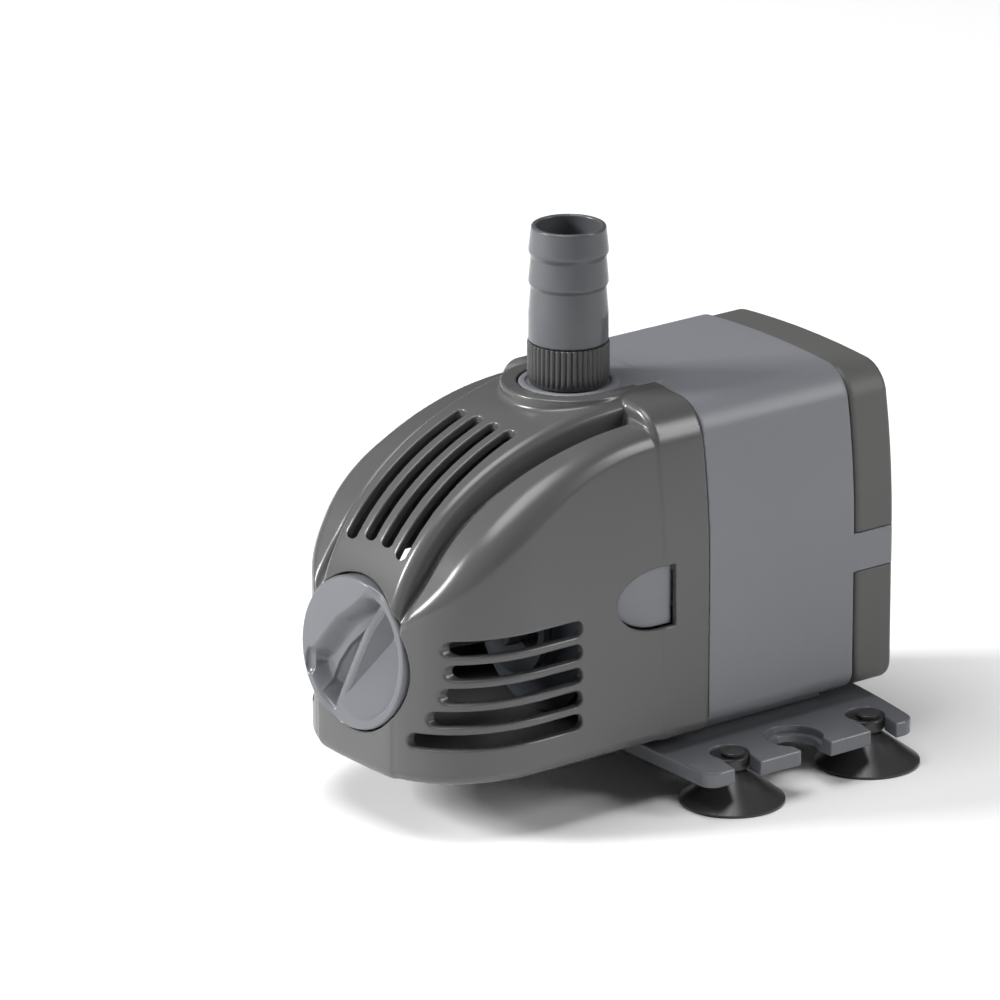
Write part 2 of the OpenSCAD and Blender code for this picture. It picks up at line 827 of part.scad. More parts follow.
front_housing();
regulator_knob();
regulator_stem();
regulator_disc();
stem_clip();
motor_housing();
rear_cover_upper();
rear_cover_lower();
cable_gland();
rotor_well();
pump_chamber();
chamber_cover();
chamber_seal();
outlet_seal();
impeller();
rotor_magnet();
rotor_shaft();
front_bush();
rear_bush();
stator_core();
coil_left();
coil_right();
resin_fill();
latch_left();
latch_right();
hose_tail();
knurled_collar();
base_plate();
base_screws();
suction_cup_front_left();
suction_cup_front_right();
suction_cup_rear_left();
suction_cup_rear_right();
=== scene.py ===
"""Looks of the submersible pump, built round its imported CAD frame.

The visible shells are closed meshes of signed distance fields. Each field is written in
millimetres in the CAD frame and starts from the CAD nodes' own boxes.
"""

import math

import bpy
import numpy as np
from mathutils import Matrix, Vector
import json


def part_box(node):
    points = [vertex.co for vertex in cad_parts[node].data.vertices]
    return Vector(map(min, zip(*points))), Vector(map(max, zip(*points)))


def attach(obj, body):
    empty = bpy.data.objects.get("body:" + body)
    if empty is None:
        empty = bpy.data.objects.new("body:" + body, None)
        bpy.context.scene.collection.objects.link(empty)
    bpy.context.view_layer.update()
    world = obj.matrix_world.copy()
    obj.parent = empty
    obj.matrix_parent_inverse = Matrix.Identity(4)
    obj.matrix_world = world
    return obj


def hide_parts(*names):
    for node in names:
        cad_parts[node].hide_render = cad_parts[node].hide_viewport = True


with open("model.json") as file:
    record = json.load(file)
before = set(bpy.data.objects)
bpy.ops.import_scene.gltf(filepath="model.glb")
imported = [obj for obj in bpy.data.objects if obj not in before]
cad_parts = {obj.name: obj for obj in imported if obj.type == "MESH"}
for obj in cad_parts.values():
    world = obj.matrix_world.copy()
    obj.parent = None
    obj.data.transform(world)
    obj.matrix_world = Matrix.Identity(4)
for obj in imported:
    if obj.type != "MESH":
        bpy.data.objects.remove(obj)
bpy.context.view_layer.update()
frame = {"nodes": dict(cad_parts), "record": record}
MM = 0.001
TINY = 1e-9


def box_mm(node):
    """Lowest and highest corners of a CAD node, in millimetres."""
    low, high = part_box(node)
    return np.array(low) / MM, np.array(high) / MM


# ---- camera, floor and light ---------------------------------------------------------

VIEW_AZIMUTH = math.radians(52.65)
VIEW_ELEVATION = math.radians(19.34)
VIEW_TARGET = Vector((0, -0.02991, 0.07894))
VIEW_DISTANCE = 2.21413
VIEW_LENS_MM = 306
SENSOR_MM = 36


def make_camera():
    data = bpy.data.cameras.new("camera")
    data.sensor_width = SENSOR_MM
    data.lens = VIEW_LENS_MM
    camera = bpy.data.objects.new("camera", data)
    bpy.context.scene.collection.objects.link(camera)
    towards = Vector((math.sin(VIEW_AZIMUTH) * math.cos(VIEW_ELEVATION),
                      -math.cos(VIEW_AZIMUTH) * math.cos(VIEW_ELEVATION),
                      math.sin(VIEW_ELEVATION)))
    camera.location = VIEW_TARGET + VIEW_DISTANCE * towards
    camera.rotation_euler = towards.to_track_quat("Z", "Y").to_euler()
    bpy.context.scene.camera = camera


def area_light(name, place, aim, size, power):
    data = bpy.data.lights.new(name, "AREA")
    data.shape = "RECTANGLE"
    data.size, data.size_y = size
    data.energy = power
    lamp = bpy.data.objects.new(name, data)
    bpy.context.scene.collection.objects.link(lamp)
    lamp.location = place
    lamp.rotation_euler = (Vector(place) - Vector(aim)).to_track_quat("Z", "Y").to_euler()


FLOOR_REACH = 6.0
FLOOR_WHITE = 0.93
FLOOR_ROUGHNESS = 0.9


def make_floor():
    mesh = bpy.data.meshes.new("floor")
    side = FLOOR_REACH
    corners = [(-side, -side, 0), (side, -side, 0), (side, side, 0), (-side, side, 0)]
    mesh.from_pydata(corners, [], [(0, 1, 2, 3)])
    floor = bpy.data.objects.new("floor", mesh)
    bpy.context.scene.collection.objects.link(floor)
    material = bpy.data.materials.new("floor_white")
    material.use_nodes = True
    shader = material.node_tree.nodes["Principled BSDF"]
    shader.inputs["Base Color"].default_value = (FLOOR_WHITE, FLOOR_WHITE, FLOOR_WHITE, 1)
    shader.inputs["Roughness"].default_value = FLOOR_ROUGHNESS
    mesh.materials.append(material)


# height in the sky, as the sine of its elevation, and the brightness there
SKY_LOW, SKY_LOW_STRENGTH = -0.1, 0.26
SKY_HIGH, SKY_HIGH_STRENGTH = 0.9, 0.95


def make_world():
    """A studio that is darker near the horizon than overhead."""
    scene = bpy.context.scene
    scene.view_settings.view_transform = "Standard"
    world = bpy.data.worlds.new("studio")
    scene.world = world
    world.use_nodes = True
    tree = world.node_tree
    background = tree.nodes["Background"]
    place = tree.nodes.new("ShaderNodeTexCoord")
    split_place = tree.nodes.new("ShaderNodeSeparateXYZ")
    shade = tree.nodes.new("ShaderNodeMapRange")
    shade.inputs["From Min"].default_value = SKY_LOW
    shade.inputs["From Max"].default_value = SKY_HIGH
    shade.inputs["To Min"].default_value = SKY_LOW_STRENGTH
    shade.inputs["To Max"].default_value = SKY_HIGH_STRENGTH
    tree.links.new(place.outputs["Generated"], split_place.inputs["Vector"])
    tree.links.new(split_place.outputs["Z"], shade.inputs["Value"])
    tree.links.new(shade.outputs["Result"], background.inputs["Strength"])


LIGHT_AIM = (0, 0, 0.06)
# name, place, width and height, power in watts
LIGHTS = (
    ("key", (-1.1, -1.9, 1.2), (0.6, 0.6), 74),
    ("top", (-0.1, -0.5, 2.2), (1.3, 1.3), 36),
    ("rim", (1.6, 1.35, 1.2), (0.5, 1.4), 24),
)


def make_stage():
    make_floor()
    make_world()
    for name, place, size, power in LIGHTS:
        area_light(name, place, LIGHT_AIM, size, power)


# ---- distance fields ------------------------------------------------------------------

def length(*parts):
    return np.sqrt(sum(p * p for p in parts))


def above(value):
    return np.maximum(value, 0)


def both(a, b, r=0.0):
    """Inside a and b; the edge between them has radius r."""
    if np.isscalar(r) and r == 0:
        return np.maximum(a, b)
    return np.minimum(-r, np.maximum(a, b)) + length(above(a + r), above(b + r))


def either(a, b, r=0.0):
    """Inside a or b; the inner corner between them has radius r."""
    if np.isscalar(r) and r == 0:
        return np.minimum(a, b)
    return np.maximum(r, np.minimum(a, b)) - length(above(r - a), above(r - b))


NEARLY_PARALLEL = 0.98


def both_slanted(a, b, r, c):
    """Like both, for surfaces whose normals have the cosine c between them."""
    u, v = a + r, b + r
    c = np.clip(c, -NEARLY_PARALLEL, NEARLY_PARALLEL)
    between = (u > c * v) & (v > c * u)
    arc = np.sqrt(np.maximum(u * u + v * v - 2 * u * v * c, 0) / (1 - c * c)) - r
    return np.where(between, arc, np.maximum(a, b))


def cut(a, b, r=0.0):
    return both(a, -b, r)


def lerp(a, b, t):
    return a + (b - a) * t


def ramp(value, start, end):
    t = np.clip((value - start) / (end - start), 0, 1)
    return t * t * (3 - 2 * t)


def ellipse(dx, dy, rx, ry):
    """Distance to an ellipse, near its edge."""
    k0 = length(dx / rx, dy / ry)
    k1 = length(dx / (rx * rx), dy / (ry * ry)) + TINY
    at_centre = k0 < 1e-4
    return np.where(at_centre, -np.minimum(rx, ry), k0 * (k0 - 1) / k1)


def slab(value, low, high):
    return np.maximum(low - value, value - high)


# ---- meshes from fields ------------------------------------------------------------------

BLOCK_CELLS = 12
STEEPEST_FIELD = 1.35


def sample(field, low, high, step):
    """Field on a grid, worked out only in the blocks that its surface may cross."""
    counts = np.ceil((high - low) / step).astype(int) + 1
    axes = [low[k] + step * np.arange(counts[k]) for k in range(3)]
    block = BLOCK_CELLS
    reach = block * step * math.sqrt(3) / 2 * STEEPEST_FIELD + 2 * step
    starts = [np.arange(0, c, block) for c in counts]
    centres = [axes[k][0] + (starts[k] + block / 2) * step for k in range(3)]
    near = field(*np.meshgrid(*centres, indexing="ij"))
    values = np.repeat(np.repeat(np.repeat(near, block, 0), block, 1), block, 2)
    values = values[:counts[0], :counts[1], :counts[2]].astype(np.float32)
    for i, j, k in np.argwhere(np.abs(near) < reach):
        part = tuple(slice(starts[d][n], min(starts[d][n] + block, counts[d]))
                     for d, n in enumerate((i, j, k)))
        grid = np.meshgrid(axes[0][part[0]], axes[1][part[1]], axes[2][part[2]], indexing="ij")
        values[part] = field(*grid)
    return values


def slope(field, points, reach=0.02):
    """Field's value and gradient at points."""
    x, y, z = points.T
    value = field(x, y, z)
    gradient = np.stack([
        field(x + reach, y, z) - field(x - reach, y, z),
        field(x, y + reach, z) - field(x, y - reach, z),
        field(x, y, z + reach) - field(x, y, z - reach)], 1) / (2 * reach)
    return value, gradient


def settle(field, points, step, rounds):
    """Moves points onto the field's surface, by at most half a step in each round."""
    least_size = 0.05
    for _ in range(rounds):
        value, gradient = slope(field, points)
        size = np.maximum((gradient ** 2).sum(1), least_size)
        move = np.clip(value / size, -0.5 * step, 0.5 * step)
        points = points - move[:, None] * gradient
    return points


def unit(vectors):
    return vectors / np.maximum(np.linalg.norm(vectors, axis=1, keepdims=True), TINY)


def crossings(field, values, low, step, axis):
    """Grid edges along one axis that the surface crosses: where, its normal and its side."""
    near = np.take(values, np.arange(values.shape[axis] - 1), axis)
    far = np.take(values, np.arange(1, values.shape[axis]), axis)
    edges = np.argwhere((near < 0) != (far < 0))
    v0, v1 = near[tuple(edges.T)].astype(float), far[tuple(edges.T)].astype(float)
    along = np.eye(3)[axis]
    start = low + step * edges
    t0, t1 = np.zeros(len(edges)), np.ones(len(edges))
    t = v0 / (v0 - v1)
    for _ in range(2):
        value = field(*(start + step * np.outer(t, along)).T)
        same = (value < 0) == (v0 < 0)
        t0, v0 = np.where(same, t, t0), np.where(same, value, v0)
        t1, v1 = np.where(same, t1, t), np.where(same, v1, value)
        gap = v0 - v1
        advance = (t1 - t0) * v0 / np.where(gap == 0, 1, gap)
        t = np.where(np.abs(gap) > TINY, t0 + advance, t0)
    points = start + step * np.outer(t, along)
    normals = slope(field, points)[1]
    return edges, points, unit(normals)


def contour(field, values, low, step):
    """Dual contouring: one corner per crossed cell, placed on the meeting of its tangent planes."""
    cells = np.array(values.shape) - 1
    number = np.full(values.shape, -1, np.int32)
    found = [crossings(field, values, low, step, axis) for axis in range(3)]
    owners, places, facing, rings = [], [], [], []
    for axis, (edges, points, normals) in enumerate(found):
        u, v = (axis + 1) % 3, (axis + 2) % 3
        ring = []
        for du, dv in ((1, 1), (0, 1), (0, 0), (1, 0)):
            cell = edges.copy()
            cell[:, u] -= du
            cell[:, v] -= dv
            ring.append(np.ravel_multi_index(tuple(np.clip(cell, 0, cells).T), values.shape))
            owners.append(ring[-1])
            places.append(points)
            facing.append(normals)
        ring = np.stack(ring, 1)
        inward = values[tuple(edges.T)] >= 0
        ring[inward] = ring[inward][:, ::-1]
        rings.append(ring)
    owners, places, facing = (np.concatenate(part) for part in (owners, places, facing))
    rings = np.concatenate(rings)
    used = np.unique(owners)
    number.ravel()[used] = np.arange(len(used))
    owners = number.ravel()[owners]
    count = np.bincount(owners, minlength=len(used)).astype(float)

    def total(weights):
        return np.bincount(owners, weights, len(used))

    middle = np.stack([total(places[:, k]) for k in range(3)], 1) / count[:, None]
    offset = (facing * (places - middle[owners])).sum(1)
    matrix = np.empty((len(used), 3, 3))
    right = np.empty((len(used), 3))
    for i in range(3):
        right[:, i] = total(facing[:, i] * offset)
        for j in range(3):
            matrix[:, i, j] = total(facing[:, i] * facing[:, j])
    # a little stiffness keeps the corner near the middle where the planes are nearly parallel
    stiff = 0.03
    matrix += stiff * count[:, None, None] * np.eye(3)
    shift = np.linalg.solve(matrix, right[:, :, None])[:, :, 0]
    corner = low + step * np.stack(np.unravel_index(used, values.shape), 1)
    points = np.clip(middle + shift, corner, corner + step)
    return points, number.ravel()[rings]


def split(points, quads):
    """Each quad as two triangles, cut along its shorter diagonal."""
    a, b, c, d = (points[quads[:, k]] for k in range(4))
    first = (((a - c) ** 2).sum(1) <= ((b - d) ** 2).sum(1))[:, None]
    one = np.where(first, quads[:, [0, 1, 2]], quads[:, [0, 1, 3]])
    two = np.where(first, quads[:, [0, 2, 3]], quads[:, [1, 2, 3]])
    return np.concatenate([one, two])


def new_mesh(name, points, faces):
    mesh = bpy.data.meshes.new(name)
    mesh.vertices.add(len(points))
    mesh.vertices.foreach_set("co", (points * MM).astype(np.float32).ravel())
    mesh.loops.add(faces.size)
    mesh.loops.foreach_set("vertex_index", faces.astype(np.int32).ravel())
    mesh.polygons.add(len(faces))
    starts = np.arange(len(faces), dtype=np.int32) * faces.shape[1]
    mesh.polygons.foreach_set("loop_start", starts)
    mesh.update(calc_edges=True)
    mesh.validate()
    return mesh


def thinned(mesh, keep):
    """A copy of mesh with about that share of its triangles."""
    carrier = bpy.data.objects.new("carrier", mesh)
    bpy.context.scene.collection.objects.link(carrier)
    thin = carrier.modifiers.new("thin", "DECIMATE")
    thin.ratio = keep
    thin.use_collapse_triangulate = True
    graph = bpy.context.evaluated_depsgraph_get()
    result = bpy.data.meshes.new_from_object(carrier.evaluated_get(graph), depsgraph=graph)
    bpy.data.objects.remove(carrier)
    bpy.data.meshes.remove(mesh)
    return result


SHARP_TURN = math.cos(math.radians(30))


def shade_from_field(mesh, field):
    """Sets each corner's normal from the field. A corner on an edge takes its face's own side."""
    points = np.empty(len(mesh.vertices) * 3, np.float32)
    mesh.vertices.foreach_get("co", points)
    points = points.reshape(-1, 3).astype(float) / MM
    corner = np.empty(len(mesh.loops), np.int32)
    mesh.loops.foreach_get("vertex_index", corner)
    corner = corner.reshape(-1, 3)

    at_vertex = unit(slope(field, points)[1])
    middle = points[corner].mean(1)
    at_middle = unit(slope(field, settle(field, middle, 0.2, 1))[1])
    normals = at_vertex[corner]
    turned = (normals * at_middle[:, None, :]).sum(2) < SHARP_TURN
    normals[turned] = np.broadcast_to(at_middle[:, None, :], normals.shape)[turned]
    mesh.polygons.foreach_set("use_smooth", np.ones(len(mesh.polygons), bool))
    mesh.normals_split_custom_set(normals.reshape(-1, 3))


GRID_MARGIN = 1.3
SETTLE_SHARE = 0.2


def solid(name, field, low, high, step, triangles):
    """An object whose surface is where field is zero, within the box low to high."""
    low, high = np.array(low, float) - GRID_MARGIN, np.array(high, float) + GRID_MARGIN
    values = sample(field, low, high, step)
    points, quads = contour(field, values, low, step)
    points = settle(field, points, SETTLE_SHARE * step, 1)
    faces = split(points, quads)
    mesh = new_mesh(name, points, faces)
    if len(faces) > triangles:
        mesh = thinned(mesh, triangles / len(faces))
    mesh.name = name
    shade_from_field(mesh, field)
    piece = bpy.data.objects.new(name, mesh)
    bpy.context.scene.collection.objects.link(piece)
    return piece


# ---- materials -----------------------------------------------------------------------------

MOTTLE_SIZE, MOTTLE_DETAIL = 38, 4
GRAIN_DETAIL = 2
GRAIN_DEPTH_M = 0.0002
NOISE_ROUGHNESS = 0.35
# the noise values that count as fully dark and fully light
NOISE_LOW, NOISE_HIGH = 0.15, 0.85
PLASTIC_IOR = 1.5


def plastic(name, colour, rough, grain=0.012, grain_size=1500, fleck=0.03):
    """Moulded plastic: slight mottling of its colour, and a fine grain."""
    material = bpy.data.materials.new(name)
    material.use_nodes = True
    tree = material.node_tree
    nodes, links = tree.nodes, tree.links
    shader = nodes["Principled BSDF"]
    place = nodes.new("ShaderNodeTexCoord")

    def noise(scale, detail):
        node = nodes.new("ShaderNodeTexNoise")
        node.inputs["Scale"].default_value = scale
        node.inputs["Detail"].default_value = detail
        node.inputs["Roughness"].default_value = NOISE_ROUGHNESS
        links.new(place.outputs["Object"], node.inputs["Vector"])
        return node.outputs["Fac"]

    spread = nodes.new("ShaderNodeMapRange")
    spread.inputs["From Min"].default_value = NOISE_LOW
    spread.inputs["From Max"].default_value = NOISE_HIGH
    links.new(noise(MOTTLE_SIZE, MOTTLE_DETAIL), spread.inputs["Value"])
    mix = nodes.new("ShaderNodeMix")
    mix.data_type = "RGBA"
    dark = [c * (1 - fleck) for c in colour]
    light = [min(1, c * (1 + fleck)) for c in colour]
    mix.inputs["A"].default_value = (*dark, 1)
    mix.inputs["B"].default_value = (*light, 1)
    links.new(spread.outputs["Result"], mix.inputs["Factor"])
    links.new(mix.outputs["Result"], shader.inputs["Base Color"])
    shader.inputs["Roughness"].default_value = rough
    bump = nodes.new("ShaderNodeBump")
    bump.inputs["Strength"].default_value = grain
    bump.inputs["Distance"].default_value = GRAIN_DEPTH_M
    links.new(noise(grain_size, GRAIN_DETAIL), bump.inputs["Height"])
    links.new(bump.outputs["Normal"], shader.inputs["Normal"])
    shader.inputs["IOR"].default_value = PLASTIC_IOR
    return material


def metal(name, colour, rough):
    """Metal with a coarser grain and more mottling than the plastics."""
    material = plastic(name, colour, rough, grain=0.05, grain_size=600, fleck=0.1)
    shader = material.node_tree.nodes["Principled BSDF"]
    shader.inputs["Metallic"].default_value = 1.0
    return material


def make_materials():
    return {
        "hood_plastic": plastic("hood_plastic", (0.088, 0.088, 0.088), 0.27),
        "motor_plastic": plastic("motor_plastic", (0.178, 0.184, 0.202), 0.40),
        "cover_plastic": plastic("cover_plastic", (0.090, 0.090, 0.087), 0.50),
        "knob_plastic": plastic("knob_plastic", (0.135, 0.139, 0.152), 0.24),
        "tail_plastic": plastic("tail_plastic", (0.085, 0.088, 0.096), 0.25),
        "collar_plastic": plastic("collar_plastic", (0.050, 0.050, 0.051), 0.36),
        "inner_plastic": plastic("inner_plastic", (0.050, 0.058, 0.072), 0.45),
        "impeller_plastic": plastic("impeller_plastic", (0.70, 0.71, 0.71), 0.35),
        "rubber": plastic("rubber", (0.040, 0.040, 0.040), 0.30, grain=0.06, grain_size=500),
        "magnet": plastic("magnet", (0.05, 0.05, 0.055), 0.5, grain=0.1, grain_size=700),
        "ceramic": plastic("ceramic", (0.82, 0.81, 0.77), 0.18, grain=0.005),
        "steel": metal("steel", (0.55, 0.56, 0.58), 0.35),
        "copper": metal("copper", (0.75, 0.34, 0.16), 0.35),
        "resin": plastic("resin", (0.02, 0.02, 0.022), 0.3),
    }


MATERIALS = make_materials()


def finish_piece(piece, body, slot, *nodes):
    piece.data.materials.clear()
    piece.data.materials.append(MATERIALS[slot])
    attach(piece, body)
    if nodes:
        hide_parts(*nodes)
    return piece


# ---- shared shape of the body -------------------------------------------------------------------

HOOD_LOW, HOOD_HIGH = box_mm("front_housing")
TAIL_LOW, TAIL_HIGH = box_mm("hose_tail")

HALF_W = HOOD_HIGH[0]
BODY_Z0 = HOOD_LOW[2]
BODY_Z1 = 106.0
FRONT_Y = -77.0
SEAM1_Y = 11.0
SEAM2_Y = 60.0
REAR_Y = box_mm("rear_cover_upper")[1][1]
OUTLET = (TAIL_LOW + TAIL_HIGH) / 2
CROWN, CROWN_HALF_W = 1.1, 26
LEAN, BEND_Z = 3.6, 60.0
TOP_R, BOTTOM_R = 7.0, 5.5
SEAM = 0.4
WALL = 2.4
EDGE = 0.45

ARCH_Y, ARCH_Z = -1.0, 50.0
ARCH_LEN, ARCH_PAST_FRONT = 76.5, 0.6
NOSE_RX, NOSE_RY = 24.0, 32.0
BOW, BOW_HALF_W = 1.2, 22


def half_width(z):
    t = above(z - BEND_Z) / (BODY_Z1 - TOP_R - BEND_Z)
    return HALF_W - LEAN * t * t


def roof(x, drop=0):
    """Height of the top at x, less drop: a slight crown."""
    return BODY_Z1 - drop + CROWN * (1 - (x / CROWN_HALF_W) ** 2)


def body_form(x, z, drop):
    """The body's section, endless along Y."""
    walls = both(np.abs(x) - half_width(z), z - roof(x, drop), TOP_R)
    return both(walls, BODY_Z0 - z, BOTTOM_R)


# ---- the hood ------------------------------------------------------------------------------------

BAND_FRONT_Y, BAND_RUN = -72, 66
BAND_HALF_W_FRONT, BAND_HALF_W_REAR = 15.6, 19.6
BAND_END_Y = -5.0
SHOULDER_DROP = 3.9
GROOVE_DEPTH_FRONT, GROOVE_DEPTH_REAR = 6.0, 7.4
GROOVE_FOOT = 1.2


def arch(x, y, z):
    """The hood's arched top and upright front."""
    dy = np.minimum(y - ARCH_Y, 0)
    dz = above(z - ARCH_Z)
    return ellipse(dy, dz, ARCH_LEN + ARCH_PAST_FRONT, roof(x) - ARCH_Z)


def nose(x, y, z):
    """The hood seen from above: elliptical front corners and a slightly bowed front."""
    bow = BOW * (1 - (x / BOW_HALF_W) ** 2)
    dx = above(np.abs(x) - (half_width(z) - NOSE_RX))
    dy = np.minimum(y - (FRONT_Y + NOSE_RY), 0)
    return ellipse(dx, dy, NOSE_RX, NOSE_RY + above(bow))


def band_half_width(y):
    along = np.clip((y - BAND_FRONT_Y) / BAND_RUN, 0, 1)
    return lerp(BAND_HALF_W_FRONT, BAND_HALF_W_REAR, along)


def facing_cosine(x, y, z):
    """Cosine between the plan's normal and the arch's normal."""
    dx = above(np.abs(x) - (HALF_W - NOSE_RX)) / NOSE_RX ** 2
    dy = np.minimum(y - (FRONT_Y + NOSE_RY), 0) / NOSE_RY ** 2
    ay = np.minimum(y - ARCH_Y, 0) / ARCH_LEN ** 2
    az = above(z - ARCH_Z) / (BODY_Z1 - ARCH_Z) ** 2
    return dy * ay / (length(dx, dy) * length(ay, az) + 1e-12)


def groove_depth(y, z):
    """How far the groove's floor lies below the arch; it fades out down the front."""
    along = ramp(y, -62, -25)
    return lerp(GROOVE_DEPTH_FRONT, GROOVE_DEPTH_REAR, along) * ramp(z, 52, 72)


def sunk_shoulders(plan, top, cosine, y, z):
    lowered = top + SHOULDER_DROP * ramp(z, 54, 74)
    front_edge_r, rear_edge_r = 8.0, 4.5
    edge_r = lerp(front_edge_r, rear_edge_r, ramp(y, -60, -15))
    return both_slanted(plan, lowered, edge_r, cosine)


def band_groove(top, side, y, z):
    """The channel beside the raised band; its floor rises towards the front."""
    depth = groove_depth(y, z)
    floor_w, wall_slant = 2.6, 0.8
    # a slanted wall's measure grows faster than its distance
    evened = 0.78
    wall = (side - floor_w - wall_slant * (depth + top)) * evened
    channel = both(-(top + depth), wall, 1.0)
    return both(channel, y - (BAND_END_Y - 0.4), 2.4)


def raised_band(plan, top, side, cosine):
    chamfer = (side + top + 0.7) * 0.7071
    band = both(both(side - GROOVE_FOOT, chamfer, 0.4), top, 0.8)
    return both_slanted(band, plan, 0.8, cosine)


def hood_outside(x, y, z):
    """Outer surface of the hood: raised band, sunk shoulders, full section towards the seam."""
    plan = nose(x, y, z)
    top = arch(x, y, z)
    cosine = facing_cosine(x, y, z)
    side = np.abs(x) - band_half_width(y)
    main = cut(sunk_shoulders(plan, top, cosine, y, z), band_groove(top, side, y, z), 0.7)
    full = both(both_slanted(plan, top, TOP_R, cosine), BAND_END_Y - y, 1.8)
    main = either(main, full, 0.8)
    whole = either(main, raised_band(plan, top, side, cosine), 0.6)
    return both(whole, BODY_Z0 - z, 3.4)


def hood_inside(x, y, z):
    plan = nose(x, y, z)
    top = arch(x, y, z)
    side = np.abs(x) - band_half_width(y)
    under_band = both(top + WALL, side - GROOVE_FOOT + WALL, 1.0)
    under_shoulder = top + groove_depth(y, z) + WALL
    roofs = np.minimum(under_shoulder, under_band)
    roofs = np.where(y > BAND_END_Y + WALL, np.minimum(roofs, top + WALL), roofs)
    inside = both_slanted(plan + WALL, roofs, 3.0, facing_cosine(x, y, z))
    return both(inside, BODY_Z0 + WALL - z, 3.0)


SIDE_SLOT_Z = 54.4
SIDE_SLOT_PITCH = 6.4
SIDE_SLOT_R = 2.15
SIDE_SLOT_REAR_Y = -31.0
# where each row ends on the front, from the top row down
SIDE_SLOT_FRONT_X = (27.4, 27.9, 27.0, 24.6, 20.2)
TOP_SLOT_X = (-10.5, -3.5, 3.5, 10.5)
TOP_SLOT_R = 1.95
TOP_SLOT_Y = ((-70.6, -33.4), (-69.8, -33.4), (-69.8, -33.4), (-70.6, -33.4))


def side_slots(x, y, z):
    """Round-ended slots that wrap round the front corners."""
    result = None
    for row, front_x in enumerate(SIDE_SLOT_FRONT_X):
        dz = z - (SIDE_SLOT_Z - row * SIDE_SLOT_PITCH)
        rear = above(y - (SIDE_SLOT_REAR_Y - SIDE_SLOT_R))
        front = above(front_x + SIDE_SLOT_R - np.abs(x))
        bar = length(np.maximum(rear, front), dz) - SIDE_SLOT_R
        result = bar if result is None else np.minimum(result, bar)
    return result


def top_slots(x, y, z):
    # the run along the arch is longer than along Y where the arch is steep
    steep_front, steep_rear = 2.3, 1.12
    result = None
    for centre, (y0, y1) in zip(TOP_SLOT_X, TOP_SLOT_Y):
        over = above(y0 + TOP_SLOT_R / steep_front - y) * steep_front
        over = over + above(y - (y1 - TOP_SLOT_R / steep_rear)) * steep_rear
        bar = length(over, x - centre) - TOP_SLOT_R
        result = bar if result is None else np.minimum(result, bar)
    return result


WINDOW_Y, WINDOW_LEN, WINDOW_STRAIGHT = -0.5, 19.1, 5
WINDOW_Z0, WINDOW_Z1, WINDOW_TIP_Z = 48.4, 65.5, 57.5
LATCH_GROOVE = 1.2
SIDE_WALLS_X = 30


def window(y, z, shrink):
    """D-shaped outline of the latch window: straight at the rear, curved to a tip in front."""
    rise = np.where(z > WINDOW_TIP_Z, WINDOW_Z1 - WINDOW_TIP_Z, WINDOW_TIP_Z - WINDOW_Z0)
    forward = np.minimum(y - (WINDOW_Y - WINDOW_STRAIGHT), 0)
    curve = ellipse(forward, z - WINDOW_TIP_Z, WINDOW_LEN - WINDOW_STRAIGHT, rise)
    return both(curve, y - WINDOW_Y, 0.5) + shrink


KNOB_LEAN = math.radians(4.5)
KNOB_POS = np.array((0, -76.6, 47.2))
KNOB_R = 20.4
KNOB_FLOOR = 6.2
KNOB_GAP = 0.45


def on_knob(x, y, z):
    """Coordinates on the knob: right, up its face, and out of its face."""
    dy, dz = y - KNOB_POS[1], z - KNOB_POS[2]
    up = dy * math.sin(KNOB_LEAN) + dz * math.cos(KNOB_LEAN)
    out = -dy * math.cos(KNOB_LEAN) + dz * math.sin(KNOB_LEAN)
    return x, up, out


def with_outlet_ring(outside, x, y, z):
    """Adds the raised ring round the outlet."""
    ring_r, ring_h, ring_z0 = 17.9, 0.5, 100
    reach = length(x, y - OUTLET[1])
    ring = both(reach - ring_r, z - (roof(0) + ring_h), 0.7)
    ring = both(ring, ring_z0 - z)
    return either(outside, ring, 1.0)


def with_stem_seat(inside, from_knob, out):
    """Leaves material inside for the knob's pocket and the boss of its stem."""
    pocket_wall, boss_r, boss_depth = 2.6, 5.4, 17.6
    seat = both(from_knob - KNOB_R - pocket_wall, -out - KNOB_FLOOR - WALL, 0.5)
    inside = cut(inside, seat, 0.6)
    return cut(inside, both(from_knob - boss_r, -out - boss_depth))


TONGUE_HALF_W = 13.2
TONGUE_GAP = 0.4
STEM_HOLE_R = 3.05


def cutout(x, y, grow):
    """U-shaped outline of the motor housing's tongue, open to the rear."""
    dy = np.minimum(y - OUTLET[1], 0)
    return length(x, dy) - TONGUE_HALF_W - grow


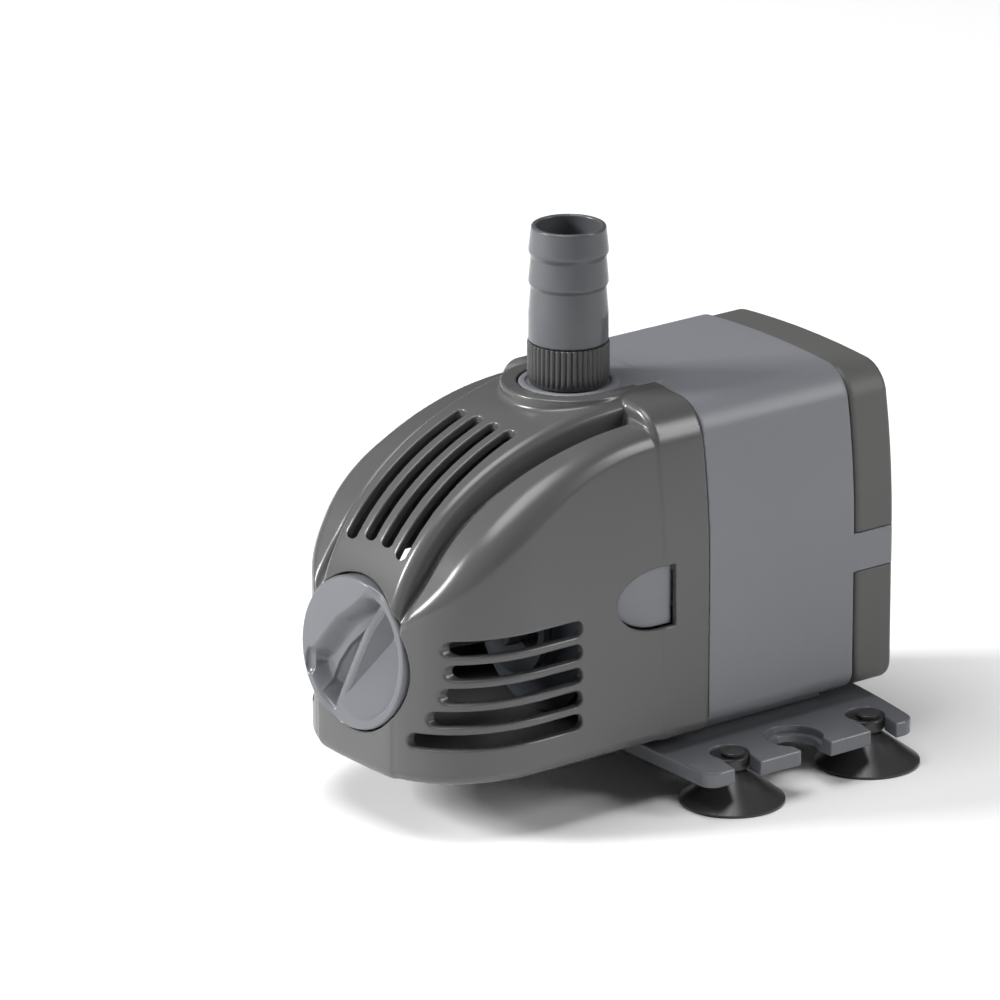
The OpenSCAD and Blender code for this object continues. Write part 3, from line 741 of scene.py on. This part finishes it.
def front_housing_field(x, y, z):
    u, v, out = on_knob(x, y, z)
    from_knob = length(u, v)
    outside = with_outlet_ring(hood_outside(x, y, z), x, y, z)
    inside = with_stem_seat(hood_inside(x, y, z), from_knob, out)
    shell = cut(outside, inside)
    shell = both(shell, y - (SEAM1_Y - SEAM), EDGE)
    shell = cut(shell, both(from_knob - KNOB_R - KNOB_GAP, -out - KNOB_FLOOR), 0.5)
    shell = cut(shell, from_knob - STEM_HOLE_R)
    top_slots_floor_z, side_slots_reach = 62, 8
    shell = cut(shell, both(top_slots(x, y, z), top_slots_floor_z - z), EDGE)
    near_skin = -nose(x, y, z) - side_slots_reach
    shell = cut(shell, both(side_slots(x, y, z), near_skin), EDGE)
    in_side_wall = SIDE_WALLS_X - np.abs(x)
    shell = cut(shell, both(window(y, z, 0), in_side_wall), 0.35)
    # groove that the latch tab slides in
    groove_gap, groove_front_y = 1, -20
    groove = both(slab(z, WINDOW_Z0 - groove_gap, WINDOW_Z1 + groove_gap), groove_front_y - y)
    groove = both(groove, np.abs(x) - (HALF_W - WALL + LATCH_GROOVE))
    shell = cut(shell, both(groove, in_side_wall))
    cutout_floor_z = 95
    return cut(shell, both(cutout(x, y, TONGUE_GAP), cutout_floor_z - z), 0.35)


# ---- the motor housing and its covers --------------------------------------------------------------

MOTOR_DROP = 0.5
COVER_DROP = 1.5
SOCKET_DEPTH = 3
BAND_DROP = 1.0
BAND_Z0, BAND_Z1 = 49.9, 60.5
TONGUE_Z0, TONGUE_PROUD, STRAP_PROUD = 103.4, 0.9, 0.1
ROTOR_Z = 42.7
WELL_R, WELL_HOLE_END_Y = 15.6, 20
WELL_SEAT_R, WELL_SEAT_DEPTH = 20.0, 1.6
STUB_HOLE_R, STUB_HOLE_Z = 9.35, 95
COLLAR_RECESS_R, COLLAR_RECESS_Z = 11.25, 107.0
LEAD_HOLE_R, LEAD_HOLE_Y, LEAD_Z = 4.4, 55, 55.2
SCREW_X, SCREW_Y = 22, (22, 50)


def tongue_form(x, y, z):
    """The round-ended tongue under the outlet, with the strap that joins it to the housing."""
    top = roof(0, MOTOR_DROP)
    reach = length(x, y - OUTLET[1])
    tongue = both(reach - TONGUE_HALF_W, z - (top + TONGUE_PROUD), 0.7)
    tongue = both(tongue, TONGUE_Z0 - z)
    strap = both(np.abs(x) - TONGUE_HALF_W, z - (top + STRAP_PROUD), 0.5)
    strap = both(both(strap, TONGUE_Z0 - z), slab(y, OUTLET[1], SEAM1_Y + 3))
    return either(tongue, strap, 0.5)


def motor_hollow(x, y, z):
    walls = body_form(x, z, MOTOR_DROP) + WALL
    hollow = both(walls, slab(y, SEAM1_Y + WALL, SEAM2_Y + 5))
    return both(hollow, slab(y, SEAM1_Y + WALL, SEAM2_Y - SOCKET_DEPTH))


def motor_band(x, y, z):
    """The light band that shows between the two rear covers."""
    form = body_form(x, z, MOTOR_DROP + BAND_DROP)
    band = both(form, slab(y, SEAM2_Y - SOCKET_DEPTH, REAR_Y), 1.6)
    return both(band, slab(z, BAND_Z0, BAND_Z1), 0.3)


def foot_rail(x, y, z):
    """The flat foot under the housing that the plate is screwed to."""
    half_w, front_y, back_y, low_z, high_z = 28, 15, 56, 13.1, 18
    rail = both(np.abs(x) - half_w, slab(y, front_y, back_y), 0.6)
    return both(rail, slab(z, low_z, high_z), 0.3)


def motor_field(x, y, z):
    body = body_form(x, z, MOTOR_DROP)
    body = both(body, slab(y, SEAM1_Y, SEAM2_Y - SEAM / 2), EDGE)
    body = either(body, tongue_form(x, y, z), 0.3)
    body = cut(body, motor_hollow(x, y, z))
    body = either(body, motor_band(x, y, z))
    from_rotor = length(x, z - ROTOR_Z)
    body = cut(body, both(from_rotor - WELL_R, y - WELL_HOLE_END_Y))
    body = cut(body, both(from_rotor - WELL_SEAT_R, y - (SEAM1_Y + WELL_SEAT_DEPTH)), 0.3)
    from_outlet = length(x, y - OUTLET[1])
    body = cut(body, both(from_outlet - STUB_HOLE_R, STUB_HOLE_Z - z))
    body = cut(body, both(from_outlet - COLLAR_RECESS_R, COLLAR_RECESS_Z - z), 0.4)
    body = cut(body, both(length(x, z - LEAD_Z) - LEAD_HOLE_R, LEAD_HOLE_Y - y))
    body = either(body, foot_rail(x, y, z), 0.8)
    pilot_r, pilot_top_z = 1.8, 21
    for screw_x in (-SCREW_X, SCREW_X):
        for screw_y in SCREW_Y:
            pilot = length(x - screw_x, y - screw_y) - pilot_r
            body = cut(body, both(pilot, z - pilot_top_z))
    return body


def cover_field(z_low, z_high):
    def field(x, y, z):
        form = body_form(x, z, COVER_DROP)
        seam_y = SEAM2_Y + SEAM / 2
        shell = both(form, slab(y, seam_y, REAR_Y), 1.8)
        shell = both(shell, seam_y - y, EDGE)
        shell = cut(shell, both(form + WALL, slab(y, SEAM2_Y - SOCKET_DEPTH, REAR_Y - WALL)))
        return both(shell, slab(z, z_low, z_high), 0.35)
    return field


# ---- the knob --------------------------------------------------------------------------------------

GRIP_TURN = math.radians(24)
GRIP_MIDDLE, GRIP_HALF_W = 1.7, 1.3
# edge of the raised pad: place along the grip, place across it
PAD_ALONG = (-12, -7.9, -4.9, 0.2, 4.9, 11.9, 16.6, 21)
PAD_ACROSS = (-14.5, -12.5, -11.6, -10.4, -9.0, -5.3, -3.3, -4.6)
# outer edge of the scoop on the grip's left
SCOOP_ALONG = (-21, -19, -17.3, -13.8, -8.6, -1.9, 5.4, 12.1, 14)
SCOOP_ACROSS = (1.5, -1.5, -4.6, -6.2, -6.3, -5.0, -2.1, 1.7, 2.6)
POINTER_U, POINTER_V = -16.2, -6.6
POINTER_RADII = (1.9, 3.6, 1.5)


def left_face(base, across, along, reach):
    """A pad, a slope that falls from it towards the grip, and a scoop beside the grip."""
    rise = ramp(-across, -1.6, 4.5)
    past = across - np.interp(along, PAD_ALONG, PAD_ACROSS)
    slope_drop = 4.2
    slope_end = 1 - ramp(reach, 15.0, 18.4)
    height = base + rise - slope_drop * ramp(past, -0.6, 4.4) * slope_end
    fall = np.clip(across - np.interp(along, SCOOP_ALONG, SCOOP_ACROSS), 0, None)
    lip, floor_slant, floor_w = 0.4, 0.8, 5
    scoop_end = 1 - ramp(reach, 16.0, 18.0)
    return height - (lip * ramp(fall, 0, 0.6) + floor_slant * np.minimum(fall, floor_w)) * scoop_end


def right_face(base, along, reach):
    """A scoop with a flat floor, deep at the top and level with the rim at the bottom."""
    deepest, scoop_low, scoop_run = 5.0, -15, 24
    depth = deepest * np.clip((along - scoop_low) / scoop_run, 0, 1)
    return base - depth * (1 - ramp(reach, 16.6, 18.4))


def grip_blade(base, across, along):
    """A rib with slanted sides, sinking into the face at its top end."""
    sunk, end_sunk = 0.5, 1.6
    top = base - sunk - end_sunk * ramp(along, 6.5, 16.5)
    past_side = np.abs(across - GRIP_MIDDLE) - GRIP_HALF_W
    left_slant, right_slant, foot_w, nowhere = 1.7, 1.05, 6, -9
    slant = np.where(across > GRIP_MIDDLE, right_slant, left_slant)
    blade = top - slant * np.clip(past_side, 0, None) - 0.35 * ramp(past_side, -1.0, 0.1)
    return np.where(past_side < foot_w, blade, nowhere)


def knob_height(u, v):
    """Height of the knob's face."""
    across = u * math.cos(GRIP_TURN) - v * math.sin(GRIP_TURN)
    along = u * math.sin(GRIP_TURN) + v * math.cos(GRIP_TURN)
    reach = length(u, v)
    middle_h, tilt, dish = 1.3, 0.04, 0.0010
    base = middle_h - tilt * u - dish * reach * reach
    left = left_face(base, across, along, reach)
    height = np.where(across > 1.6, right_face(base, along, reach), left)
    return np.maximum(height, grip_blade(base, across, along))


def knob_field(x, y, z):
    u, v, out = on_knob(x, y, z)
    reach = length(u, v)
    # the face is steep in places, so its measure is scaled down to a distance
    face = (out - knob_height(u, v)) * 0.75
    form = both(reach - KNOB_R, face, 0.7)
    form = both(form, -out - KNOB_FLOOR + 0.4, 0.4)
    floor = knob_height(POINTER_U, POINTER_V)
    ru, rv, depth = POINTER_RADII
    from_middle = length((u - POINTER_U) / ru, (v - POINTER_V) / rv, (out - floor - 0.5) / depth)
    form = cut(form, (from_middle - 1) * depth, 0.3)
    stem_socket_r, stem_socket_depth = 3.0, 3.4
    return cut(form, both(reach - stem_socket_r, out + KNOB_FLOOR - stem_socket_depth))


# ---- the outlet ------------------------------------------------------------------------------------

# height and radius up the outside of the tail
TAIL_Z = (118.7, 126.0, 133.4, 134.6, 135.4, 141.6, 142.9, 143.7, 149.9)
TAIL_R = (10.5, 10.48, 9.9, 10.46, 10.46, 9.9, 10.46, 10.46, 9.75)
SPIGOT_R, SPIGOT_Z0 = 8.4, 112.4
SPIGOT_FLANGE_R, SPIGOT_FLANGE_TOP_Z = 9.1, 114.6
SPIGOT_BORE_R, TAIL_BORE_R = 7.0, 8.4
COLLAR_Z0, COLLAR_Z1 = 107.3, 118.5
COLLAR_RIBS = 44
COLLAR_R, COLLAR_RIB_H = 10.3, 0.5
THREAD_R, THREAD_TOP_Z, COLLAR_LIP_R = 9.38, 114.8, 8.48


def tail_field(x, y, z):
    reach = length(x - OUTLET[0], y - OUTLET[1])
    radius = np.interp(z, TAIL_Z, TAIL_R)
    outer = both((reach - radius) * 0.95, slab(z, TAIL_Z[0], TAIL_HIGH[2]), 0.5)
    spigot = both(reach - SPIGOT_R, slab(z, SPIGOT_Z0, 121))
    flange = both(reach - SPIGOT_FLANGE_R, slab(z, SPIGOT_Z0, SPIGOT_FLANGE_TOP_Z), 0.2)
    body = either(outer, either(spigot, flange))
    bore = lerp(SPIGOT_BORE_R, TAIL_BORE_R, ramp(z, 120.5, 122.5))
    return cut(body, reach - bore, 0.5)


def collar_field(x, y, z):
    dx, dy = x - OUTLET[0], y - OUTLET[1]
    reach = length(dx, dy)
    angle = np.arctan2(dy, dx)
    wave = np.abs(np.sin(angle * COLLAR_RIBS / 2))
    # the ribs fade out towards the collar's foot
    fade = ramp(z, 107.6, 109.2)
    outer = reach - (COLLAR_R + COLLAR_RIB_H * wave * fade)
    outer = both(outer, slab(z, COLLAR_Z0, COLLAR_Z1), 0.35)
    inner = either(both(reach - THREAD_R, z - THREAD_TOP_Z), reach - COLLAR_LIP_R)
    return cut(outer, inner, 0.2)


# ---- the plate and its cups ------------------------------------------------------------------------

PLATE_LOW, PLATE_HIGH = box_mm("base_plate")
PLATE_FRONT_Y, PLATE_REAR_Y, PLATE_REAR_BOW = -4, 65.5, 5.3
CUP_ROWS = ((11.0, "front"), (57.0, "rear"))
CUP_X, KEYHOLE_X = 46.65, 45.4
KEYHOLE_R, KEYHOLE_MOUTH_HALF_W, KEYHOLE_LEAN = 5.2, 4.2, math.radians(12)
NOTCH_X, NOTCH_Y, NOTCH_R, NOTCH_MOUTH_HALF_W = 46.5, 31.8, 6.2, 5.0
NOTCH_STEP_R, NOTCH_STEP_Z = 7.8, 10.95
SCREW_SHANK_R, SCREW_HEAD_R, SCREW_HEAD_Z = 2.0, 3.6, 10.8


def keyhole(ax, y, cup_y):
    dx, dy = ax - KEYHOLE_X, y - cup_y
    along = dx * math.cos(KEYHOLE_LEAN) - dy * math.sin(KEYHOLE_LEAN)
    across = dx * math.sin(KEYHOLE_LEAN) + dy * math.cos(KEYHOLE_LEAN)
    mouth = both(np.abs(across) - KEYHOLE_MOUTH_HALF_W, -along)
    return either(length(dx, dy) - KEYHOLE_R, mouth, 0.4)


def plate_field(x, y, z):
    ax = np.abs(x)
    t = ax / PLATE_HIGH[0]
    outline = both(ax - PLATE_HIGH[0], PLATE_FRONT_Y - y, 4.0)
    rear = y - (PLATE_REAR_Y + PLATE_REAR_BOW * (1 - t * t))
    outline = both(outline, rear * 0.97, 3.5)
    plate = both(outline, slab(z, PLATE_LOW[2], PLATE_HIGH[2]), 0.5)
    for cup_y, _ in CUP_ROWS:
        plate = cut(plate, keyhole(ax, y, cup_y), 0.4)
    dx, dy = ax - NOTCH_X, y - NOTCH_Y
    notch = either(length(dx, dy) - NOTCH_R, both(np.abs(dy) - NOTCH_MOUTH_HALF_W, -dx), 0.8)
    plate = cut(plate, notch, 0.35)
    plate = cut(plate, both(length(dx, dy) - NOTCH_STEP_R, NOTCH_STEP_Z - z), 0.25)
    for screw_y in SCREW_Y:
        r = length(ax - SCREW_X, y - screw_y)
        head = both(r - SCREW_HEAD_R, z - SCREW_HEAD_Z)
        plate = cut(plate, either(r - SCREW_SHANK_R, head))
    return plate


CUP_R, CUP_TOP_R, CUP_LIP_H, CUP_RISE, CUP_TOP_Z = 14.0, 2.6, 0.8, 8.8, 10.4
CUP_HOLLOW_R, CUP_HOLLOW_H = 12.6, 5.6
CUP_NECK_R, CUP_PLUG_R = 2.2, 5.15
CUP_HEAD_LOW_R, CUP_HEAD_HIGH_R, CUP_HEAD_Z, CUP_HEAD_RISE = 1.9, 3.3, 11.0, 2.6
# what turns each cone's radial measure into a distance: the cosine of its slant
SKIRT_COSINE, HOLLOW_COSINE, HEAD_COSINE = 0.62, 0.41, 0.93


def cone(r, height, rise, low_r, high_r):
    """Radial measure of a cone that goes from low_r to high_r over the rise."""
    return r - lerp(low_r, high_r, np.clip(height / rise, 0, 1))


def cup_field(side, cup_y):
    def field(x, y, z):
        dy = y - cup_y
        r = length(x - side * CUP_X, dy)
        skirt = cone(r, z - CUP_LIP_H, CUP_RISE, CUP_R, CUP_TOP_R) * SKIRT_COSINE
        skirt = both(skirt, slab(z, 0, CUP_TOP_Z), 0.25)
        under = cone(r, z, CUP_HOLLOW_H, CUP_HOLLOW_R, 0.0) * HOLLOW_COSINE
        skirt = cut(skirt, both(under, z - (CUP_HOLLOW_H - 0.1)), 0.2)
        neck = both(r - CUP_NECK_R, slab(z, 8, 12))
        head = cone(r, z - CUP_HEAD_Z, CUP_HEAD_RISE, CUP_HEAD_LOW_R, CUP_HEAD_HIGH_R) * HEAD_COSINE
        head = both(head, slab(z, 10.6, 13.95), 0.4)
        plug = both(length(x - side * KEYHOLE_X, dy) - CUP_PLUG_R, slab(z, 9.2, 12.5), 0.4)
        return either(either(skirt, neck, 0.6), either(head, plug, 0.2), 0.3)
    return field


# ---- the latches -----------------------------------------------------------------------------------

LATCH_OUTER_X = HALF_W - WALL + LATCH_GROOVE - 0.3
LATCH_ARM_Z0, LATCH_ARM_Z1 = 52.5, 62.5
LATCH_ROOT_X, LATCH_ROOT_Y, LATCH_ROOT_R = 32.6, 9.6, 1.2


def latch_field(side):
    def field(x, y, z):
        sx = x * side
        # the tab's face falls away towards its tip
        swell = 0.9 * np.clip((y + 1.5) / 17, -1, 0) ** 2
        tab = both(window(y, z, 0.35), slab(sx, LATCH_OUTER_X - 2.2, LATCH_OUTER_X - swell), 0.4)
        arm_height = slab(z, LATCH_ARM_Z0, LATCH_ARM_Z1)
        arm = both(arm_height, slab(sx, LATCH_OUTER_X - 3.6, LATCH_OUTER_X - 1.8), 0.3)
        arm = both(slab(y, -8.5, 10.9), arm, 0.3)
        root = length(sx - LATCH_ROOT_X, y - LATCH_ROOT_Y) - LATCH_ROOT_R
        root = both(root, arm_height, 0.2)
        return either(either(tab, arm, 0.3), root, 0.2)
    return field


# ---- the pieces -----------------------------------------------------------------------------------

UPPER_COVER, LOWER_COVER = (60.7, 120), (0, 49.7)
# piece, field, CAD node, grid step in mm, most triangles, body, material slot
SHELLS = (
    ("hood_shell", front_housing_field, "front_housing", 0.5, 150000, "hood", "hood_plastic"),
    ("motor_shell", motor_field, "motor_housing", 0.6, 70000, "pump", "motor_plastic"),
    ("upper_cover_shell", cover_field(*UPPER_COVER), "rear_cover_upper", 0.55, 24000,
     "pump", "cover_plastic"),
    ("lower_cover_shell", cover_field(*LOWER_COVER), "rear_cover_lower", 0.55, 24000,
     "pump", "cover_plastic"),
    ("knob_face", knob_field, "regulator_knob", 0.3, 66000, "knob", "knob_plastic"),
    ("barbed_tail", tail_field, "hose_tail", 0.35, 36000, "tail", "tail_plastic"),
    ("ribbed_collar", collar_field, "knurled_collar", 0.2, 64000, "collar", "collar_plastic"),
    ("cup_plate", plate_field, "base_plate", 0.5, 48000, "pump", "knob_plastic"),
)
LATCH_STEP, LATCH_TRIANGLES = 0.3, 11000
CUP_STEP, CUP_TRIANGLES = 0.35, 15000


def build_pieces():
    for name, field, node, step, triangles, body, slot in SHELLS:
        low, high = box_mm(node)
        finish_piece(solid(name, field, low, high, step, triangles), body, slot, node)
    for side, word in ((-1, "left"), (1, "right")):
        node = "latch_" + word
        low, high = box_mm(node)
        piece = solid("latch_tab_" + word, latch_field(side), low, high, LATCH_STEP, LATCH_TRIANGLES)
        finish_piece(piece, word + "_latch", "motor_plastic", node)
        for cup_y, end in CUP_ROWS:
            node = "suction_cup_%s_%s" % (end, word)
            low, high = box_mm(node)
            field = cup_field(side, cup_y)
            piece = solid("cup_%s_%s" % (end, word), field, low, high, CUP_STEP, CUP_TRIANGLES)
            finish_piece(piece, "pump", "rubber", node)


def dress_nodes():
    """Gives the CAD nodes that stay visible their materials."""
    slots = {s["node"]: s["material_slot"] for s in frame["record"]["subparts"]}
    for name, node in frame["nodes"].items():
        if node.hide_render:
            continue
        node.data.materials.clear()
        node.data.materials.append(MATERIALS[slots[name]])


make_camera()
make_stage()
build_pieces()
dress_nodes()
